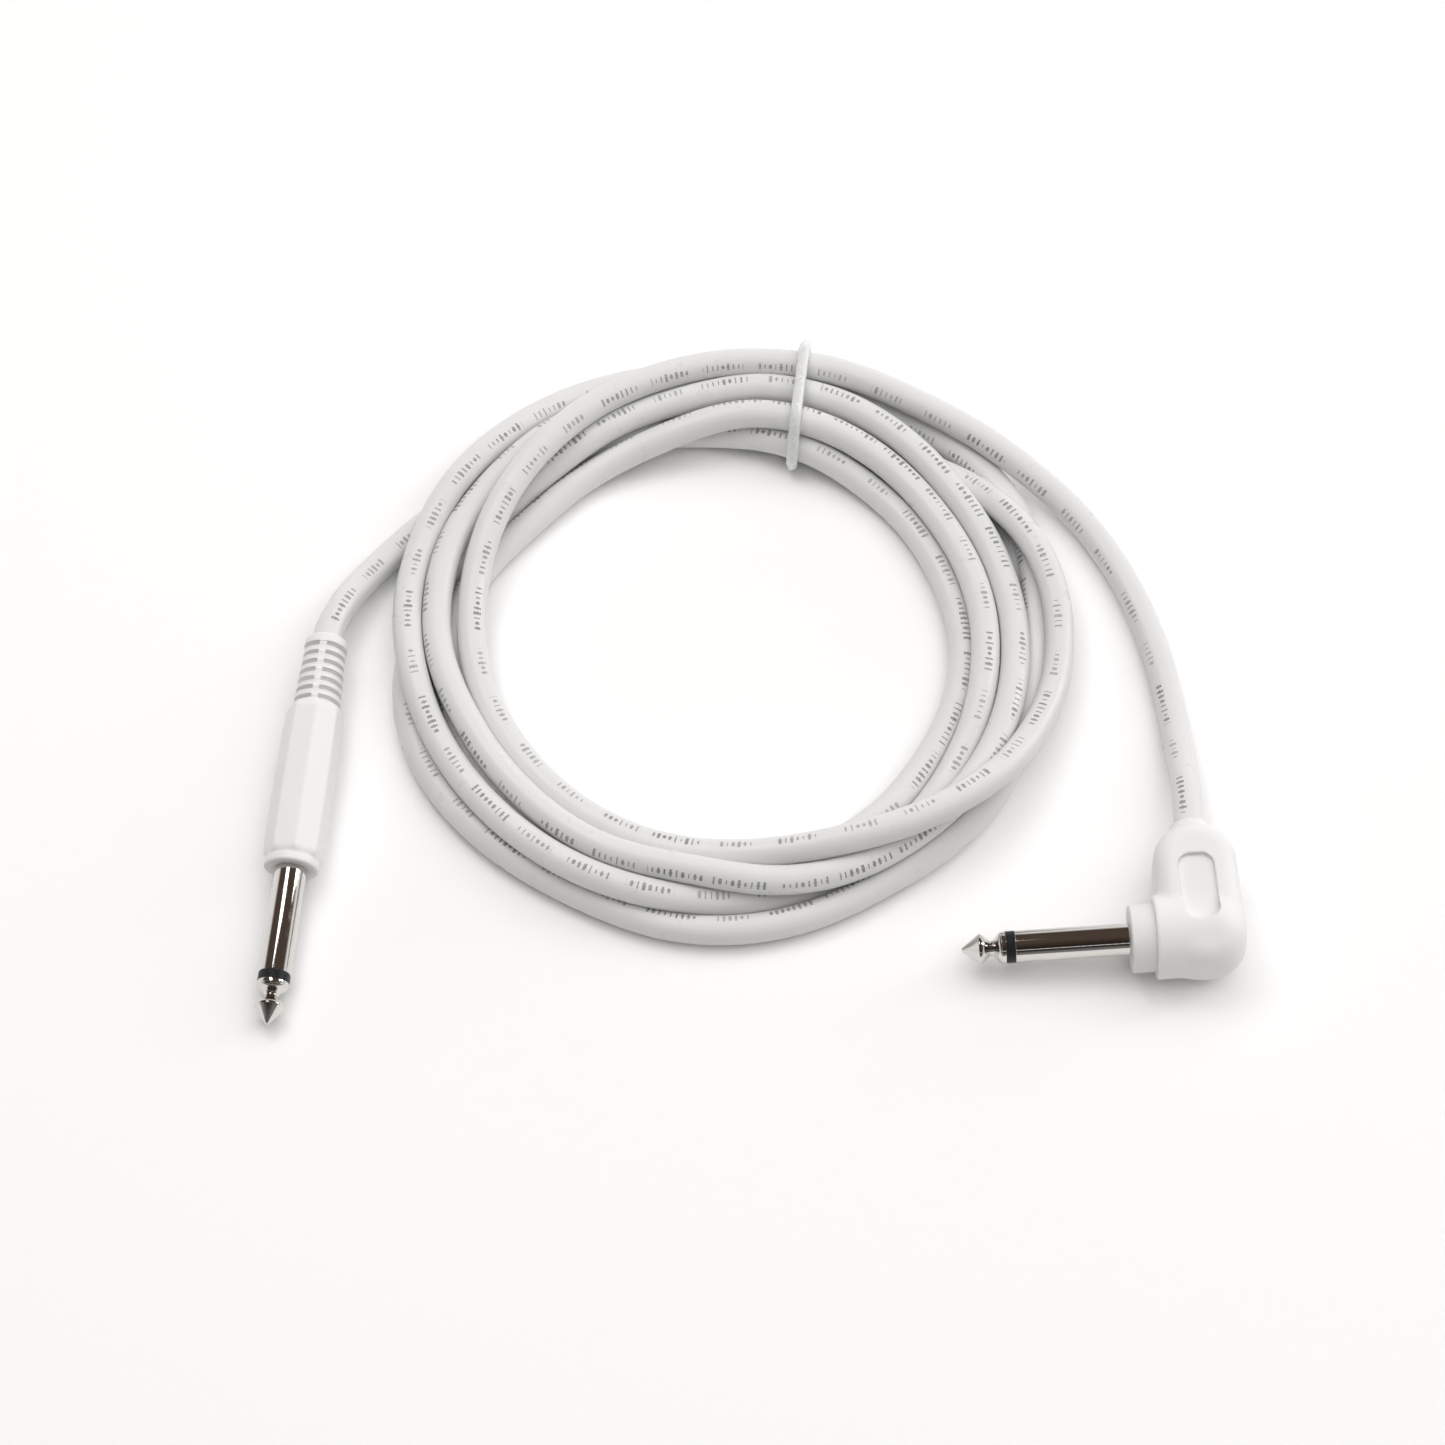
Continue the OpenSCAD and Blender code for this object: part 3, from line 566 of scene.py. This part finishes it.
def make_tie(line):
    """The elastic ring: a taut loop round the turns where they pass the tie's place."""
    out = np.array([math.cos(math.radians(TIE_LEAN)), math.sin(math.radians(TIE_LEAN)), 0.0])
    side = np.array([-out[1], out[0], 0.0])
    centre = np.array([COIL_CENTRE[0] + TIE_REACH * math.cos(math.radians(TIE_ANGLE)),
                       COIL_CENTRE[1] + TIE_REACH * math.sin(math.radians(TIE_ANGLE)), 0.0]) - TIE_REACH * out
    beside = (line - centre) @ side
    reach = (line - centre) @ out
    cross = [k for k in range(len(line) - 1) if beside[k] * beside[k + 1] <= 0 and reach[k] > 0]
    spots = []
    for k in cross:
        share = beside[k] / (beside[k] - beside[k + 1])
        spots.append((reach[k] + share * (reach[k + 1] - reach[k]),
                      line[k, 2] + share * (line[k + 1, 2] - line[k, 2])))
    away = CABLE_R + TIE_D / 2
    cloud = [(x + away * math.cos(a), z + away * math.sin(a)) for x, z in spots
             for a in (2 * math.pi * k / 72 for k in range(72))]
    loop = hull_2d(cloud)
    loop = [(x, max(z, TIE_D / 2)) for x, z in loop]
    closed = np.array(loop + [loop[0]])
    run = np.concatenate([[0], np.cumsum(np.linalg.norm(np.diff(closed, axis=0), axis=1))])
    at = np.linspace(0, run[-1], 121)[:-1]
    even = np.stack([np.interp(at, run, closed[:, k]) for k in range(2)], axis=1)
    points = centre + even[:, :1] * out + even[:, 1:] * np.array([0.0, 0.0, 1.0])
    obj = tube("tie_loop", points, TIE_D, 20, MATERIALS["tie_elastic"], closed=True)
    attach(obj, "root")
    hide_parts("tie_ring")
    return obj


def hull_2d(points):
    """The convex outline of a set of points, counter-clockwise."""
    points = sorted(set(points))

    def half(seq):
        kept = []
        for p in seq:
            while len(kept) > 1 and ((kept[-1][0] - kept[-2][0]) * (p[1] - kept[-2][1])
                                     - (kept[-1][1] - kept[-2][1]) * (p[0] - kept[-2][0])) <= 0:
                kept.pop()
            kept.append(p)
        return kept[:-1]

    return half(points) + half(reversed(points))


# ---------------------------------------------------------------- plug pins

def smooth_step(value, low, high):
    share = min(max((value - low) / (high - low), 0.0), 1.0)
    return share * share * (3 - 2 * share)


def waist(x0, r0, x1, r1, steps=14):
    """Points (station, radius) along a soft step between two radii."""
    return [(x0 + (x1 - x0) * k / steps, r0 + (r1 - r0) * smooth_step(k / steps, 0, 1))
            for k in range(1, steps + 1)]


def pin_pieces(name, place):
    """The turned pieces of one pin: tip contact, black ring and sleeve."""
    ring_end = PIN_LEN - TIP_LEN
    ring_start = ring_end - RING_LEN
    flange_back = -SLEEVE_DEPTH - FLANGE_T
    neck_x = ring_end + NECK_AT
    cone_x = PIN_LEN - CONE_LEN
    edge = 0.12
    tip = [(RIVET_BACK, 0.02), (RIVET_BACK, RIVET_R), (RIVET_BACK + RIVET_T, RIVET_R),
           (RIVET_BACK + RIVET_T, ROD_D / 2), (ring_end, ROD_D / 2), (ring_end, TIP_COLLAR_R - 0.1)]
    tip += arc(ring_end + edge, TIP_COLLAR_R - edge, edge, 180, 90, 4)
    tip += arc(ring_end + TIP_COLLAR_LEN - edge, TIP_COLLAR_R - edge, edge, 90, 25, 4)
    tip += waist(ring_end + TIP_COLLAR_LEN, TIP_COLLAR_R - 0.02, neck_x, NECK_D / 2)
    tip += waist(neck_x, NECK_D / 2, cone_x - 0.1, TIP_D / 2)
    tip += arc(cone_x - 0.1, TIP_D / 2 - 0.4, 0.4, 90, 40, 6)[1:]
    tip += [(PIN_LEN - 0.35, 0.62)] + arc(PIN_LEN - 0.5, 0.0, 0.5, 50, 2, 6) + [(PIN_LEN, 0.01)]
    contact = lathe(name + "_tip", tip, place, MATERIALS["nickel"])
    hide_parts(name + "_tip_contact")
    bevel = 0.06
    ring = lathe(name + "_ring", [(ring_start, ROD_D / 2), (ring_start, RING_R - bevel),
                                  (ring_start + bevel, RING_R), (ring_end - bevel, RING_R),
                                  (ring_end, RING_R - bevel), (ring_end, ROD_D / 2)],
                 place, MATERIALS["black_ring"])
    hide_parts(name + "_tip_ring")
    r = PIN_D / 2
    barrel = [(flange_back, SLEEVE_BORE_D / 2), (flange_back, FLANGE_D / 2), (-SLEEVE_DEPTH, FLANGE_D / 2),
              (-SLEEVE_DEPTH, r - ROOT_STEP), (-0.3, r - ROOT_STEP), (-0.3, r)]
    barrel += arc(ring_start - edge, r - edge, edge, 90, 0, 4) + [(ring_start, SLEEVE_BORE_D / 2)]
    sleeve = lathe(name + "_barrel", barrel, place, MATERIALS["nickel"])
    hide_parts(name + "_sleeve")
    for obj in (contact, ring, sleeve):
        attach(obj, "root")
    return [contact, ring, sleeve]


# ---------------------------------------------------------------- straight plug's moulding

def octagon(angle, width):
    """Radius of an eight-sided section with softened corners."""
    power = 70.0
    total = sum(abs(math.cos(angle - math.pi * k / 4)) ** power for k in range(4))
    return width / 2 / total ** (1 / power)


def straight_moulding():
    """Handle, lip and ribbed relief as one moulding, lofted along the pin's axis."""
    sides = 144
    end = -HANDLE_LEN - RELIEF_LEN
    pitch = (RELIEF_LEN - END_RING - FRONT_RING - SLOT_W) / (RELIEF_SLOTS - 1)
    slot_x = [-HANDLE_LEN - FRONT_RING - SLOT_W / 2 - k * pitch for k in range(RELIEF_SLOTS)]

    def handle_width(x):
        belly = -0.42 * HANDLE_LEN
        span = (x - belly) / (-HANDLE_LEN - belly) if x < belly else (x - belly) / -belly
        drop = HANDLE_W - HANDLE_BACK_W if x < belly else 0.5
        return HANDLE_W - drop * span * span

    def radius(x, angle):
        if x > -LIP_LEN:
            return LIP_D / 2
        if x > -HANDLE_LEN - 0.01:
            flat = octagon(angle - HANDLE_ROLL, handle_width(x))
            neck = LIP_D / 2 - 0.25
            front = smooth_step(-x, LIP_LEN, 2.9)
            back = smooth_step(x, -HANDLE_LEN, -HANDLE_LEN + 1.9)
            shoulder = 4.95
            size = neck + (flat - neck) * front
            return shoulder + (size - shoulder) * math.sqrt(back)
        share = (-HANDLE_LEN - x) / RELIEF_LEN
        size = RELIEF_FRONT_D / 2 + (RELIEF_BACK_D - RELIEF_FRONT_D) / 2 * share
        cut = max(smooth_step(SLOT_W / 2 + 0.1 - abs(x - s), 0.0, 0.2) for s in slot_x)
        crown = min(1.0, min(abs(x - s) for s in slot_x) / (pitch / 2))
        rib = RIB_HEIGHT * math.sqrt(crown) if x > end + END_RING else 0.0
        off_spine = smooth_step(abs(size * math.cos(angle)), SPINE_HALF - 0.12, SPINE_HALF + 0.12)
        return size - rib - SLOT_DEPTH * cut * off_spine

    stations = [0.0] + list(np.linspace(-0.35, -1.4, 4)) + [-1.65, -1.75, -1.76, -2.0, -2.3]
    stations += list(np.linspace(-2.8, -HANDLE_LEN + 2.2, 44))
    stations += [-HANDLE_LEN + 1.9 * (1 - t * t) for t in np.linspace(0.05, 1.0, 12)]
    stations += list(np.linspace(-HANDLE_LEN - 0.1, end + 0.7, 185))
    rows = []
    bore = PIN_D / 2
    rows.append([(-SLEEVE_DEPTH, bore)] * sides)
    rows.append([(-0.1, bore)] * sides)
    rows.append([(0.0, bore + 0.12)] * sides)
    for back, down in ((0.0, 0.45), (0.07, 0.22), (0.2, 0.07)):
        rows.append([(-back, LIP_D / 2 - down)] * sides)
    for x in stations[1:]:
        rows.append([(x, radius(x, 2 * math.pi * k / sides)) for k in range(sides)])
    back_r = RELIEF_BACK_D / 2
    for x, r in arc(end + 0.7, back_r - 0.7, 0.7, 90, 180, 6)[1:]:
        rows.append([(x, r)] * sides)
    rows.append([(end, CABLE_R + 0.25)] * sides)
    rows.append([(end + 0.25, CABLE_R)] * sides)
    inner = -HANDLE_LEN + MOULD_BACK
    rows.append([(inner, CABLE_R)] * sides)
    rows.append([(inner, MOULD_R)] * sides)
    rows.append([(-SLEEVE_DEPTH, MOULD_R)] * sides)
    verts = []
    for row in rows:
        for k, (x, r) in enumerate(row):
            a = 2 * math.pi * k / sides
            verts.append(STRAIGHT_PLACE @ Vector((x * MM, r * MM * math.cos(a), r * MM * math.sin(a))))
    faces = grid_faces(len(rows), sides, joined=True)
    obj = new_object("straight_moulding", verts, faces, MATERIALS["moulding_pvc"], 50.0)
    clean(obj)
    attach(obj, "root")
    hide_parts("straight_handle")
    return obj


# ---------------------------------------------------------------- right-angle housing

def soft_union(a, b, blend):
    h = np.clip(0.5 + 0.5 * (b - a) / blend, 0, 1)
    return b + (a - b) * h - blend * h * (1 - h)


def soft_cut(a, b, blend):
    """What is in a and out of b."""
    return -soft_union(-a, b, blend)


def housing_field(p):
    """Signed distance, about, from the right-angle housing's surface; negative inside."""
    x, y, z = p[..., 0], p[..., 1], p[..., 2]
    ring = np.sqrt(y * y + z * z)
    front_x, back_x = -COLLAR_LEN, -LEG_OFFSET - LEG_W / 2
    mid, half = (front_x + back_x) / 2, (front_x - back_x) / 2
    rounding = np.where(x > mid, BARREL_FRONT_ROUND, BARREL_BACK_ROUND)
    a = np.abs(x - mid) - (half - rounding)
    b = ring - (BARREL_D / 2 - rounding)
    barrel = np.minimum(np.maximum(a, b), 0) + np.hypot(np.maximum(a, 0), np.maximum(b, 0)) - rounding
    dome_y = -LEG_LEN + LEG_W / 2
    along = np.clip(y, dome_y, 0.0)
    wide = np.hypot(x + LEG_OFFSET, y - along)
    c = wide - (LEG_W / 2 - LEG_ROUND)
    d = np.abs(z) - (LEG_H / 2 - LEG_ROUND)
    leg = np.minimum(np.maximum(c, d), 0) + np.hypot(np.maximum(c, 0), np.maximum(d, 0)) - LEG_ROUND
    body = soft_union(barrel, leg, BODY_BLEND)
    centre = np.hypot(x + LEG_OFFSET, z)
    boss_end = -LEG_LEN - BOSS_LEN
    boss_r = CABLE_R + 0.9 + 0.35 * (y - boss_end)
    boss = np.maximum(centre - np.minimum(boss_r, BOSS_TOP_R),
                      np.maximum(boss_end - y, y + LEG_LEN - BOSS_ROOT))
    body = soft_union(body, boss, BODY_BLEND)
    ax = np.maximum(np.abs(x - RECESS_AT[0]) - (RECESS_W / 2 - RECESS_CORNER), 0)
    ay = np.maximum(np.abs(y - RECESS_AT[1]) - (RECESS_LEN / 2 - RECESS_CORNER), 0)
    stadium = np.hypot(ax, ay) - RECESS_CORNER
    recess = np.maximum(stadium, LEG_H / 2 - RECESS_DEPTH - np.abs(z))
    body = soft_cut(body, recess, 0.12)
    bore = np.maximum(ring - COLLAR_D / 2, -x - LEG_OFFSET + COLLAR_BACK)
    body = np.maximum(body, -bore)
    jacket = np.maximum(centre - CABLE_R, y + JACKET_STOP)
    return np.maximum(body, -jacket)


def surface_net(field, low, high, step):
    """A closed quad mesh on the field's zero surface, one point in each cell that it crosses."""
    axes = [np.arange(low[k], high[k] + step, step) for k in range(3)]
    grid = np.stack(np.meshgrid(*axes, indexing="ij"), axis=-1)
    value = field(grid)
    inside = value < 0
    shape = np.array(value.shape) - 1
    corners = [(i, j, k) for i in (0, 1) for j in (0, 1) for k in (0, 1)]

    def shifted(array, c):
        return array[c[0]:c[0] + shape[0], c[1]:c[1] + shape[1], c[2]:c[2] + shape[2]]

    total = sum(shifted(inside, c).astype(int) for c in corners)
    cells = (total > 0) & (total < 8)
    weight = np.zeros(shape)
    place = np.zeros((*shape, 3))
    for one in corners:
        for axis in range(3):
            if one[axis]:
                continue
            two = tuple(v + (1 if k == axis else 0) for k, v in enumerate(one))
            va, vb = shifted(value, one), shifted(value, two)
            hit = (va < 0) != (vb < 0)
            share = np.where(hit, va / np.where(hit, va - vb, 1), 0)
            point = np.array(one, float) + share[..., None] * np.eye(3)[axis]
            place += np.where(hit[..., None], point, 0)
            weight += hit
    index = -np.ones(shape, int)
    index[cells] = np.arange(cells.sum())
    where = np.argwhere(cells)
    points = np.array(low) + (where + place[cells] / weight[cells][:, None]) * step
    faces = []
    for axis in range(3):
        u, w = (axis + 1) % 3, (axis + 2) % 3
        ahead = [slice(None)] * 3
        ahead[axis] = slice(1, None)
        back = [slice(None)] * 3
        back[axis] = slice(None, -1)
        change = inside[tuple(back)] != inside[tuple(ahead)]
        for cell in np.argwhere(change):
            if cell[u] == 0 or cell[w] == 0 or cell[u] >= shape[u] or cell[w] >= shape[w]:
                continue
            around = []
            for du, dw in ((0, 0), (-1, 0), (-1, -1), (0, -1)):
                c = cell.copy()
                c[u] += du
                c[w] += dw
                around.append(int(index[tuple(c)]))
            faces.append(around if inside[tuple(cell)] else around[::-1])
    nudge = 0.05
    for _ in range(3):
        here = field(points)
        slope = np.stack([(field(points + nudge * np.eye(3)[k]) - here) / nudge for k in range(3)], axis=1)
        move = -(here / np.maximum((slope ** 2).sum(axis=1), 0.25))[:, None] * slope
        points = points + np.clip(move, -0.3 * step, 0.3 * step)
    return points, faces


def angle_housing():
    step = 0.3
    low = (-LEG_OFFSET - LEG_W / 2 - 1.0, -LEG_LEN - BOSS_LEN - 1.0, -BARREL_D / 2 - 1.0)
    high = (-COLLAR_LEN + 1.0, BARREL_D / 2 + 1.0, BARREL_D / 2 + 1.0)
    points, faces = surface_net(housing_field, low, high, step)
    verts = [ANGLE_PLACE @ (Vector(p) * MM) for p in points]
    obj = new_object("angle_moulding", verts, faces, MATERIALS["moulding_pvc"], 55.0)
    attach(obj, "root")
    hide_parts("angle_housing")
    return obj


def angle_collar():
    """The inner moulding, which shows as a stepped collar in front of the housing."""
    r = COLLAR_D / 2
    bore = PIN_D / 2
    profile = [(-SLEEVE_DEPTH, bore), (-0.12, bore), (0.0, bore + 0.12)]
    profile += arc(-0.35, r - 0.35, 0.35, 0, 90, 5)
    wall_r, room_r = 6.0, FLANGE_D / 2 + 0.05
    back, room_back = -LEG_OFFSET + COLLAR_BACK, -SLEEVE_DEPTH - FLANGE_T - 0.2
    profile += [(-COLLAR_LEN - 0.02, r), (back, r), (back, wall_r),
                (room_back, wall_r), (room_back, room_r), (-SLEEVE_DEPTH, room_r)]
    obj = lathe("angle_collar", profile, ANGLE_PLACE, MATERIALS["inner_mould_plastic"])
    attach(obj, "root")
    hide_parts("angle_inner_mould")
    return obj


# ---------------------------------------------------------------- stage

def make_stage():
    mat, tree, bsdf = shader("stage_white")
    bsdf.inputs["Base Color"].default_value = (0.93, 0.93, 0.93, 1.0)
    bsdf.inputs["Roughness"].default_value = 0.9
    bsdf.inputs["Specular IOR Level"].default_value = 0.1
    half = 4.0
    floor = new_object("floor", [(-half, -half, 0), (half, -half, 0), (half, half, 0), (-half, half, 0)],
                       [(0, 1, 2, 3)], mat)


def area_light(name, place, target, size, power, mirrored=True):
    data = bpy.data.lights.new(name, "AREA")
    data.shape = "RECTANGLE"
    data.size, data.size_y = size
    data.energy = power
    obj = bpy.data.objects.new(name, data)
    obj.visible_glossy = mirrored
    obj.location = place
    obj.rotation_mode = "QUATERNION"
    obj.rotation_quaternion = (Vector(target) - Vector(place)).to_track_quat("-Z", "Y")
    bpy.context.scene.collection.objects.link(obj)


def make_lights():
    """A white backdrop, a dark room above, three lights that the pins mirror and a big soft top light."""
    world = bpy.data.worlds.new("studio")
    bpy.context.scene.world = world
    world.use_nodes = True
    tree = world.node_tree
    coords = tree.nodes.new("ShaderNodeTexCoord")
    split = tree.nodes.new("ShaderNodeSeparateXYZ")
    tree.links.new(coords.outputs["Generated"], split.inputs["Vector"])
    ramp = tree.nodes.new("ShaderNodeValToRGB")
    tree.links.new(split.outputs["Z"], ramp.inputs["Fac"])
    ramp.color_ramp.elements[0].position = 0.2
    ramp.color_ramp.elements[0].color = (0.95, 0.95, 0.95, 1)
    ramp.color_ramp.elements[1].position = 0.44
    ramp.color_ramp.elements[1].color = (0.085, 0.06, 0.048, 1)
    back = tree.nodes["Background"]
    front = spread(tree, split.outputs["Y"], 0.22, 1.0, -0.75, -0.1)
    tree.links.new(ramp.outputs["Color"], back.inputs["Color"])
    tree.links.new(front, back.inputs["Strength"])
    aim = (0, 0.03, 0)
    area_light("left_box", (-0.185, 0.196, 0.56), (-0.09, -0.02, 0), (0.17, 0.24), 0.45)
    area_light("right_box", (1.25, 0.52, 0.66), aim, (0.16, 0.8), 3.0)
    area_light("front_strip", (0.15, -1.35, 0.98), aim, (2.0, 0.06), 0.6)
    area_light("top_light", (0.2, 0.2, 1.3), aim, (2.2, 2.2), 26.5, mirrored=False)
    scene = bpy.context.scene
    scene.view_settings.view_transform = "Standard"
    scene.view_settings.look = "None"
    scene.view_settings.exposure = 0.0


# ---------------------------------------------------------------- carried-over pieces

def node_materials():
    """Each CAD node that stays takes the material of its slot in the record."""
    slots = {part["node"]: part["material_slot"] for part in frame["record"]["subparts"]}
    for obj in bpy.context.scene.objects:
        if obj.type == "MESH" and obj.name in slots:
            obj.data.materials.clear()
            obj.data.materials.append(MATERIALS[slots[obj.name]])
            for polygon in obj.data.polygons:
                polygon.use_smooth = True
            obj.data.set_sharp_from_angle(angle=math.radians(30.0))


make_camera()
node_materials()
cable, centreline = make_cable()
tie = make_tie(centreline)
pin_pieces("straight", STRAIGHT_PLACE)
pin_pieces("angle", ANGLE_PLACE)
straight_moulding()
angle_housing()
angle_collar()
make_stage()
make_lights()
